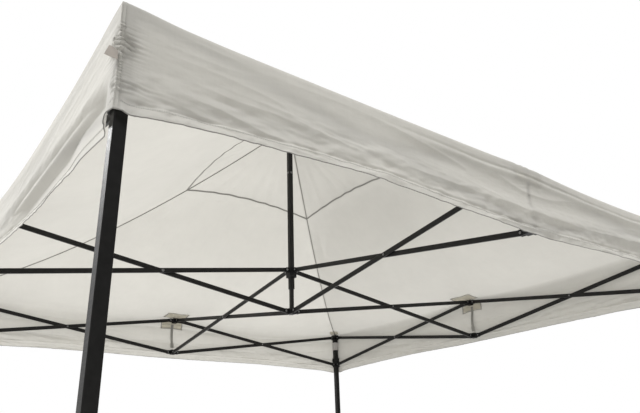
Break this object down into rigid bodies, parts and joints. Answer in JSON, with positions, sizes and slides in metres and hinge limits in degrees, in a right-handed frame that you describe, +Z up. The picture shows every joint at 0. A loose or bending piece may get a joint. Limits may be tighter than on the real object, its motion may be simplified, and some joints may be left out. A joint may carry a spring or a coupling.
{
  "type": "pop up gazebo",
  "caption": "Square pop up gazebo with a pale fabric pyramid roof and valance on a folding black steel scissor frame, with a centre mast and telescopic legs.",
  "frame": {"origin": "on the ground, under the centre of the gazebo", "axes": "+Z up; the front side is at -Y and the right side at +X"},
  "size_m": [2.97, 2.97, 3.1786],
  "materials": {
    "frame_paint": "satin black powder coat",
    "black_plastic": "moulded, fine grain",
    "button_plastic": "moulded, smooth",
    "canopy_fabric": "woven polyester, off-white",
    "webbing": "plain woven tape",
    "rivet_steel": "zinc plated"
  },
  "bodies": {
    "centre": {"upper_hub_centre": "black_plastic"},
    "roof_arm_front_upper": {"roof_arm_front_upper": "frame_paint"},
    "lower_hub_front": {"lower_hub_front": "black_plastic"},
    "roof_arm_front_lower": {"roof_arm_front_lower": "frame_paint"},
    "upper_hub_front": {"upper_hub_front": "black_plastic"},
    "lower_hub_centre": {"lower_hub_centre": "black_plastic", "mast_rod": "frame_paint"},
    "truss_front_front_left_outer": {"truss_front_front_left_outer": "frame_paint"},
    "truss_front_front_left_inner": {"truss_front_front_left_inner": "frame_paint"},
    "truss_front_front_right_outer": {"truss_front_front_right_outer": "frame_paint"},
    "truss_front_front_right_inner": {"truss_front_front_right_inner": "frame_paint"},
    "outer_leg_front_right": {"outer_leg_front_right": "frame_paint"},
    "slider_front_right": {"slider_front_right": "black_plastic"},
    "inner_leg_front_right": {"inner_leg_front_right": "frame_paint"},
    "slider_button_front_right": {"slider_button_front_right": "button_plastic"},
    "leg_button_front_right": {"leg_button_front_right": "button_plastic"},
    "canopy_front": {"canopy_front": "canopy_fabric"},
    "roof_arm_right_upper": {"roof_arm_right_upper": "frame_paint"},
    "lower_hub_right": {"lower_hub_right": "black_plastic"},
    "roof_arm_right_lower": {"roof_arm_right_lower": "frame_paint"},
    "upper_hub_right": {"upper_hub_right": "black_plastic"},
    "truss_right_front_right_outer": {"truss_right_front_right_outer": "frame_paint"},
    "truss_right_front_right_inner": {"truss_right_front_right_inner": "frame_paint"},
    "truss_right_back_right_outer": {"truss_right_back_right_outer": "frame_paint"},
    "truss_right_back_right_inner": {"truss_right_back_right_inner": "frame_paint"},
    "outer_leg_back_right": {"outer_leg_back_right": "frame_paint"},
    "slider_back_right": {"slider_back_right": "black_plastic"},
    "inner_leg_back_right": {"inner_leg_back_right": "frame_paint"},
    "slider_button_back_right": {"slider_button_back_right": "button_plastic"},
    "leg_button_back_right": {"leg_button_back_right": "button_plastic"},
    "canopy_right": {"canopy_right": "canopy_fabric"},
    "roof_arm_back_upper": {"roof_arm_back_upper": "frame_paint"},
    "lower_hub_back": {"lower_hub_back": "black_plastic"},
    "roof_arm_back_lower": {"roof_arm_back_lower": "frame_paint"},
    "upper_hub_back": {"upper_hub_back": "black_plastic"},
    "truss_back_back_right_outer": {"truss_back_back_right_outer": "frame_paint"},
    "truss_back_back_right_inner": {"truss_back_back_right_inner": "frame_paint"},
    "truss_back_back_left_outer": {"truss_back_back_left_outer": "frame_paint"},
    "truss_back_back_left_inner": {"truss_back_back_left_inner": "frame_paint"},
    "outer_leg_back_left": {"outer_leg_back_left": "frame_paint"},
    "slider_back_left": {"slider_back_left": "black_plastic"},
    "inner_leg_back_left": {"inner_leg_back_left": "frame_paint"},
    "slider_button_back_left": {"slider_button_back_left": "button_plastic"},
    "leg_button_back_left": {"leg_button_back_left": "button_plastic"},
    "canopy_back": {"canopy_back": "canopy_fabric"},
    "roof_arm_left_upper": {"roof_arm_left_upper": "frame_paint"},
    "lower_hub_left": {"lower_hub_left": "black_plastic"},
    "roof_arm_left_lower": {"roof_arm_left_lower": "frame_paint"},
    "upper_hub_left": {"upper_hub_left": "black_plastic"},
    "truss_left_back_left_outer": {"truss_left_back_left_outer": "frame_paint"},
    "truss_left_back_left_inner": {"truss_left_back_left_inner": "frame_paint"},
    "truss_left_front_left_outer": {"truss_left_front_left_outer": "frame_paint"},
    "truss_left_front_left_inner": {"truss_left_front_left_inner": "frame_paint"},
    "outer_leg_front_left": {"outer_leg_front_left": "frame_paint"},
    "slider_front_left": {"slider_front_left": "black_plastic"},
    "inner_leg_front_left": {"inner_leg_front_left": "frame_paint"},
    "slider_button_front_left": {"slider_button_front_left": "button_plastic"},
    "leg_button_front_left": {"leg_button_front_left": "button_plastic"},
    "canopy_left": {"canopy_left": "canopy_fabric"},
    "mast": {"mast_tube": "frame_paint"}
  },
  "joints": [
    {"name": "fold", "type": "hinge", "parent": "centre", "child": "roof_arm_front_upper", "pos_m": [0.006, -0.035, 2.3], "axis": [1, 0, 0], "range_deg": [0, 75]},
    {"name": "lower_hub_front_hinge", "type": "hinge", "parent": "roof_arm_front_upper", "child": "lower_hub_front", "pos_m": [0.006, -1.415, 2.082], "axis": [1, 0, 0], "range_deg": [-75, 0]},
    {"name": "roof_arm_front_crossing", "type": "hinge", "parent": "roof_arm_front_upper", "child": "roof_arm_front_lower", "pos_m": [0, -0.725, 2.191], "axis": [1, 0, 0], "range_deg": [-150, 0]},
    {"name": "upper_hub_front_hinge", "type": "hinge", "parent": "roof_arm_front_lower", "child": "upper_hub_front", "pos_m": [-0.006, -1.415, 2.3], "axis": [1, 0, 0], "range_deg": [0, 75]},
    {"name": "lower_hub_centre_hinge", "type": "hinge", "parent": "roof_arm_front_lower", "child": "lower_hub_centre", "pos_m": [-0.006, -0.035, 2.082], "axis": [1, 0, 0], "range_deg": [0, 75]},
    {"name": "truss_front_front_left_outer_hinge", "type": "hinge", "parent": "lower_hub_front", "child": "truss_front_front_left_outer", "pos_m": [-0.035, -1.456, 2.082], "axis": [0, -1, 0], "range_deg": [-75, 0]},
    {"name": "truss_front_front_left_inner_hinge", "type": "hinge", "parent": "upper_hub_front", "child": "truss_front_front_left_inner", "pos_m": [-0.035, -1.444, 2.3], "axis": [0, -1, 0], "range_deg": [0, 75]},
    {"name": "truss_front_front_right_outer_hinge", "type": "hinge", "parent": "lower_hub_front", "child": "truss_front_front_right_outer", "pos_m": [0.035, -1.456, 2.082], "axis": [0, -1, 0], "range_deg": [0, 75]},
    {"name": "truss_front_front_right_inner_hinge", "type": "hinge", "parent": "upper_hub_front", "child": "truss_front_front_right_inner", "pos_m": [0.035, -1.444, 2.3], "axis": [0, -1, 0], "range_deg": [-75, 0]},
    {"name": "outer_leg_front_right_hinge", "type": "hinge", "parent": "truss_front_front_right_outer", "child": "outer_leg_front_right", "pos_m": [1.415, -1.456, 2.3], "axis": [0, -1, 0], "range_deg": [-75, 0]},
    {"name": "slider_front_right_hinge", "type": "hinge", "parent": "truss_front_front_right_inner", "child": "slider_front_right", "pos_m": [1.415, -1.444, 2.082], "axis": [0, -1, 0], "range_deg": [0, 75]},
    {"name": "leg_height_front_right", "type": "slide", "parent": "outer_leg_front_right", "child": "inner_leg_front_right", "axis": [0, 0, 1], "range_m": [0, 0.75]},
    {"name": "slider_button_front_right_press", "type": "slide", "parent": "slider_front_right", "child": "slider_button_front_right", "axis": [0, -1, 0], "range_m": [0, 0.004], "stiffness_N_per_m": 400},
    {"name": "leg_button_front_right_press", "type": "slide", "parent": "outer_leg_front_right", "child": "leg_button_front_right", "axis": [0, -1, 0], "range_m": [0, 0.004], "stiffness_N_per_m": 400},
    {"name": "canopy_front_hinge", "type": "hinge", "parent": "upper_hub_front", "child": "canopy_front", "pos_m": [0, -1.478, 2.33], "axis": [1, 0, 0], "range_deg": [-121, 0], "deforming": ["canopy_front"]},
    {"name": "roof_arm_right_upper_hinge", "type": "hinge", "parent": "centre", "child": "roof_arm_right_upper", "pos_m": [0.035, 0.006, 2.3], "axis": [0, 1, 0], "range_deg": [0, 75]},
    {"name": "lower_hub_right_hinge", "type": "hinge", "parent": "roof_arm_right_upper", "child": "lower_hub_right", "pos_m": [1.415, 0.006, 2.082], "axis": [0, 1, 0], "range_deg": [-75, 0]},
    {"name": "roof_arm_right_crossing", "type": "hinge", "parent": "roof_arm_right_upper", "child": "roof_arm_right_lower", "pos_m": [0.725, 0, 2.191], "axis": [0, 1, 0], "range_deg": [-150, 0]},
    {"name": "upper_hub_right_hinge", "type": "hinge", "parent": "roof_arm_right_lower", "child": "upper_hub_right", "pos_m": [1.415, -0.006, 2.3], "axis": [0, 1, 0], "range_deg": [0, 75]},
    {"name": "truss_right_front_right_outer_hinge", "type": "hinge", "parent": "lower_hub_right", "child": "truss_right_front_right_outer", "pos_m": [1.456, -0.035, 2.082], "axis": [1, 0, 0], "range_deg": [-75, 0]},
    {"name": "truss_right_front_right_inner_hinge", "type": "hinge", "parent": "upper_hub_right", "child": "truss_right_front_right_inner", "pos_m": [1.444, -0.035, 2.3], "axis": [1, 0, 0], "range_deg": [0, 75]},
    {"name": "truss_right_back_right_outer_hinge", "type": "hinge", "parent": "lower_hub_right", "child": "truss_right_back_right_outer", "pos_m": [1.456, 0.035, 2.082], "axis": [1, 0, 0], "range_deg": [0, 75]},
    {"name": "truss_right_back_right_inner_hinge", "type": "hinge", "parent": "upper_hub_right", "child": "truss_right_back_right_inner", "pos_m": [1.444, 0.035, 2.3], "axis": [1, 0, 0], "range_deg": [-75, 0]},
    {"name": "outer_leg_back_right_hinge", "type": "hinge", "parent": "truss_right_back_right_outer", "child": "outer_leg_back_right", "pos_m": [1.456, 1.415, 2.3], "axis": [1, 0, 0], "range_deg": [-75, 0]},
    {"name": "slider_back_right_hinge", "type": "hinge", "parent": "truss_right_back_right_inner", "child": "slider_back_right", "pos_m": [1.444, 1.415, 2.082], "axis": [1, 0, 0], "range_deg": [0, 75]},
    {"name": "leg_height_back_right", "type": "slide", "parent": "outer_leg_back_right", "child": "inner_leg_back_right", "axis": [0, 0, 1], "range_m": [0, 0.75]},
    {"name": "slider_button_back_right_press", "type": "slide", "parent": "slider_back_right", "child": "slider_button_back_right", "axis": [1, 0, 0], "range_m": [0, 0.004], "stiffness_N_per_m": 400},
    {"name": "leg_button_back_right_press", "type": "slide", "parent": "outer_leg_back_right", "child": "leg_button_back_right", "axis": [1, 0, 0], "range_m": [0, 0.004], "stiffness_N_per_m": 400},
    {"name": "canopy_right_hinge", "type": "hinge", "parent": "upper_hub_right", "child": "canopy_right", "pos_m": [1.478, 0, 2.33], "axis": [0, 1, 0], "range_deg": [-121, 0], "deforming": ["canopy_right"]},
    {"name": "roof_arm_back_upper_hinge", "type": "hinge", "parent": "centre", "child": "roof_arm_back_upper", "pos_m": [-0.006, 0.035, 2.3], "axis": [-1, 0, 0], "range_deg": [0, 75]},
    {"name": "lower_hub_back_hinge", "type": "hinge", "parent": "roof_arm_back_upper", "child": "lower_hub_back", "pos_m": [-0.006, 1.415, 2.082], "axis": [-1, 0, 0], "range_deg": [-75, 0]},
    {"name": "roof_arm_back_crossing", "type": "hinge", "parent": "roof_arm_back_upper", "child": "roof_arm_back_lower", "pos_m": [0, 0.725, 2.191], "axis": [-1, 0, 0], "range_deg": [-150, 0]},
    {"name": "upper_hub_back_hinge", "type": "hinge", "parent": "roof_arm_back_lower", "child": "upper_hub_back", "pos_m": [0.006, 1.415, 2.3], "axis": [-1, 0, 0], "range_deg": [0, 75]},
    {"name": "truss_back_back_right_outer_hinge", "type": "hinge", "parent": "lower_hub_back", "child": "truss_back_back_right_outer", "pos_m": [0.035, 1.456, 2.082], "axis": [0, 1, 0], "range_deg": [-75, 0]},
    {"name": "truss_back_back_right_inner_hinge", "type": "hinge", "parent": "upper_hub_back", "child": "truss_back_back_right_inner", "pos_m": [0.035, 1.444, 2.3], "axis": [0, 1, 0], "range_deg": [0, 75]},
    {"name": "truss_back_back_left_outer_hinge", "type": "hinge", "parent": "lower_hub_back", "child": "truss_back_back_left_outer", "pos_m": [-0.035, 1.456, 2.082], "axis": [0, 1, 0], "range_deg": [0, 75]},
    {"name": "truss_back_back_left_inner_hinge", "type": "hinge", "parent": "upper_hub_back", "child": "truss_back_back_left_inner", "pos_m": [-0.035, 1.444, 2.3], "axis": [0, 1, 0], "range_deg": [-75, 0]},
    {"name": "outer_leg_back_left_hinge", "type": "hinge", "parent": "truss_back_back_left_outer", "child": "outer_leg_back_left", "pos_m": [-1.415, 1.456, 2.3], "axis": [0, 1, 0], "range_deg": [-75, 0]},
    {"name": "slider_back_left_hinge", "type": "hinge", "parent": "truss_back_back_left_inner", "child": "slider_back_left", "pos_m": [-1.415, 1.444, 2.082], "axis": [0, 1, 0], "range_deg": [0, 75]},
    {"name": "leg_height_back_left", "type": "slide", "parent": "outer_leg_back_left", "child": "inner_leg_back_left", "axis": [0, 0, 1], "range_m": [0, 0.75]},
    {"name": "slider_button_back_left_press", "type": "slide", "parent": "slider_back_left", "child": "slider_button_back_left", "axis": [0, 1, 0], "range_m": [0, 0.004], "stiffness_N_per_m": 400},
    {"name": "leg_button_back_left_press", "type": "slide", "parent": "outer_leg_back_left", "child": "leg_button_back_left", "axis": [0, 1, 0], "range_m": [0, 0.004], "stiffness_N_per_m": 400},
    {"name": "canopy_back_hinge", "type": "hinge", "parent": "upper_hub_back", "child": "canopy_back", "pos_m": [0, 1.478, 2.33], "axis": [-1, 0, 0], "range_deg": [-121, 0], "deforming": ["canopy_back"]},
    {"name": "roof_arm_left_upper_hinge", "type": "hinge", "parent": "centre", "child": "roof_arm_left_upper", "pos_m": [-0.035, -0.006, 2.3], "axis": [0, -1, 0], "range_deg": [0, 75]},
    {"name": "lower_hub_left_hinge", "type": "hinge", "parent": "roof_arm_left_upper", "child": "lower_hub_left", "pos_m": [-1.415, -0.006, 2.082], "axis": [0, -1, 0], "range_deg": [-75, 0]},
    {"name": "roof_arm_left_crossing", "type": "hinge", "parent": "roof_arm_left_upper", "child": "roof_arm_left_lower", "pos_m": [-0.725, 0, 2.191], "axis": [0, -1, 0], "range_deg": [-150, 0]},
    {"name": "upper_hub_left_hinge", "type": "hinge", "parent": "roof_arm_left_lower", "child": "upper_hub_left", "pos_m": [-1.415, 0.006, 2.3], "axis": [0, -1, 0], "range_deg": [0, 75]},
    {"name": "truss_left_back_left_outer_hinge", "type": "hinge", "parent": "lower_hub_left", "child": "truss_left_back_left_outer", "pos_m": [-1.456, 0.035, 2.082], "axis": [-1, 0, 0], "range_deg": [-75, 0]},
    {"name": "truss_left_back_left_inner_hinge", "type": "hinge", "parent": "upper_hub_left", "child": "truss_left_back_left_inner", "pos_m": [-1.444, 0.035, 2.3], "axis": [-1, 0, 0], "range_deg": [0, 75]},
    {"name": "truss_left_front_left_outer_hinge", "type": "hinge", "parent": "lower_hub_left", "child": "truss_left_front_left_outer", "pos_m": [-1.456, -0.035, 2.082], "axis": [-1, 0, 0], "range_deg": [0, 75]},
    {"name": "truss_left_front_left_inner_hinge", "type": "hinge", "parent": "upper_hub_left", "child": "truss_left_front_left_inner", "pos_m": [-1.444, -0.035, 2.3], "axis": [-1, 0, 0], "range_deg": [-75, 0]},
    {"name": "outer_leg_front_left_hinge", "type": "hinge", "parent": "truss_left_front_left_outer", "child": "outer_leg_front_left", "pos_m": [-1.456, -1.415, 2.3], "axis": [-1, 0, 0], "range_deg": [-75, 0]},
    {"name": "slider_front_left_hinge", "type": "hinge", "parent": "truss_left_front_left_inner", "child": "slider_front_left", "pos_m": [-1.444, -1.415, 2.082], "axis": [-1, 0, 0], "range_deg": [0, 75]},
    {"name": "leg_height_front_left", "type": "slide", "parent": "outer_leg_front_left", "child": "inner_leg_front_left", "axis": [0, 0, 1], "range_m": [0, 0.75]},
    {"name": "slider_button_front_left_press", "type": "slide", "parent": "slider_front_left", "child": "slider_button_front_left", "axis": [-1, 0, 0], "range_m": [0, 0.004], "stiffness_N_per_m": 400},
    {"name": "leg_button_front_left_press", "type": "slide", "parent": "outer_leg_front_left", "child": "leg_button_front_left", "axis": [-1, 0, 0], "range_m": [0, 0.004], "stiffness_N_per_m": 400},
    {"name": "canopy_left_hinge", "type": "hinge", "parent": "upper_hub_left", "child": "canopy_left", "pos_m": [-1.478, 0, 2.33], "axis": [0, -1, 0], "range_deg": [-121, 0], "deforming": ["canopy_left"]},
    {"name": "mast_slide", "type": "slide", "parent": "centre", "child": "mast", "axis": [0, 0, 1], "range_m": [-0.6, 0]}
  ],
  "couplings": [
    {"joint": "lower_hub_front_hinge", "follows": "fold", "ratio": -1},
    {"joint": "roof_arm_front_crossing", "follows": "fold", "ratio": -2},
    {"joint": "upper_hub_front_hinge", "follows": "fold", "ratio": 1},
    {"joint": "lower_hub_centre_hinge", "follows": "fold", "ratio": 1},
    {"joint": "truss_front_front_left_outer_hinge", "follows": "fold", "ratio": -1},
    {"joint": "truss_front_front_left_inner_hinge", "follows": "fold", "ratio": 1},
    {"joint": "truss_front_front_right_outer_hinge", "follows": "fold", "ratio": 1},
    {"joint": "truss_front_front_right_inner_hinge", "follows": "fold", "ratio": -1},
    {"joint": "outer_leg_front_right_hinge", "follows": "fold", "ratio": -1},
    {"joint": "slider_front_right_hinge", "follows": "fold", "ratio": 1},
    {"joint": "canopy_front_hinge", "follows": "fold", "ratio": -1.6133},
    {"joint": "roof_arm_right_upper_hinge", "follows": "fold", "ratio": 1},
    {"joint": "lower_hub_right_hinge", "follows": "fold", "ratio": -1},
    {"joint": "roof_arm_right_crossing", "follows": "fold", "ratio": -2},
    {"joint": "upper_hub_right_hinge", "follows": "fold", "ratio": 1},
    {"joint": "truss_right_front_right_outer_hinge", "follows": "fold", "ratio": -1},
    {"joint": "truss_right_front_right_inner_hinge", "follows": "fold", "ratio": 1},
    {"joint": "truss_right_back_right_outer_hinge", "follows": "fold", "ratio": 1},
    {"joint": "truss_right_back_right_inner_hinge", "follows": "fold", "ratio": -1},
    {"joint": "outer_leg_back_right_hinge", "follows": "fold", "ratio": -1},
    {"joint": "slider_back_right_hinge", "follows": "fold", "ratio": 1},
    {"joint": "canopy_right_hinge", "follows": "fold", "ratio": -1.6133},
    {"joint": "roof_arm_back_upper_hinge", "follows": "fold", "ratio": 1},
    {"joint": "lower_hub_back_hinge", "follows": "fold", "ratio": -1},
    {"joint": "roof_arm_back_crossing", "follows": "fold", "ratio": -2},
    {"joint": "upper_hub_back_hinge", "follows": "fold", "ratio": 1},
    {"joint": "truss_back_back_right_outer_hinge", "follows": "fold", "ratio": -1},
    {"joint": "truss_back_back_right_inner_hinge", "follows": "fold", "ratio": 1},
    {"joint": "truss_back_back_left_outer_hinge", "follows": "fold", "ratio": 1},
    {"joint": "truss_back_back_left_inner_hinge", "follows": "fold", "ratio": -1},
    {"joint": "outer_leg_back_left_hinge", "follows": "fold", "ratio": -1},
    {"joint": "slider_back_left_hinge", "follows": "fold", "ratio": 1},
    {"joint": "canopy_back_hinge", "follows": "fold", "ratio": -1.6133},
    {"joint": "roof_arm_left_upper_hinge", "follows": "fold", "ratio": 1},
    {"joint": "lower_hub_left_hinge", "follows": "fold", "ratio": -1},
    {"joint": "roof_arm_left_crossing", "follows": "fold", "ratio": -2},
    {"joint": "upper_hub_left_hinge", "follows": "fold", "ratio": 1},
    {"joint": "truss_left_back_left_outer_hinge", "follows": "fold", "ratio": -1},
    {"joint": "truss_left_back_left_inner_hinge", "follows": "fold", "ratio": 1},
    {"joint": "truss_left_front_left_outer_hinge", "follows": "fold", "ratio": 1},
    {"joint": "truss_left_front_left_inner_hinge", "follows": "fold", "ratio": -1},
    {"joint": "outer_leg_front_left_hinge", "follows": "fold", "ratio": -1},
    {"joint": "slider_front_left_hinge", "follows": "fold", "ratio": 1},
    {"joint": "canopy_left_hinge", "follows": "fold", "ratio": -1.6133},
    {"joint": "mast_slide", "follows": "fold", "m_per_rad": -0.45837}
  ]
}
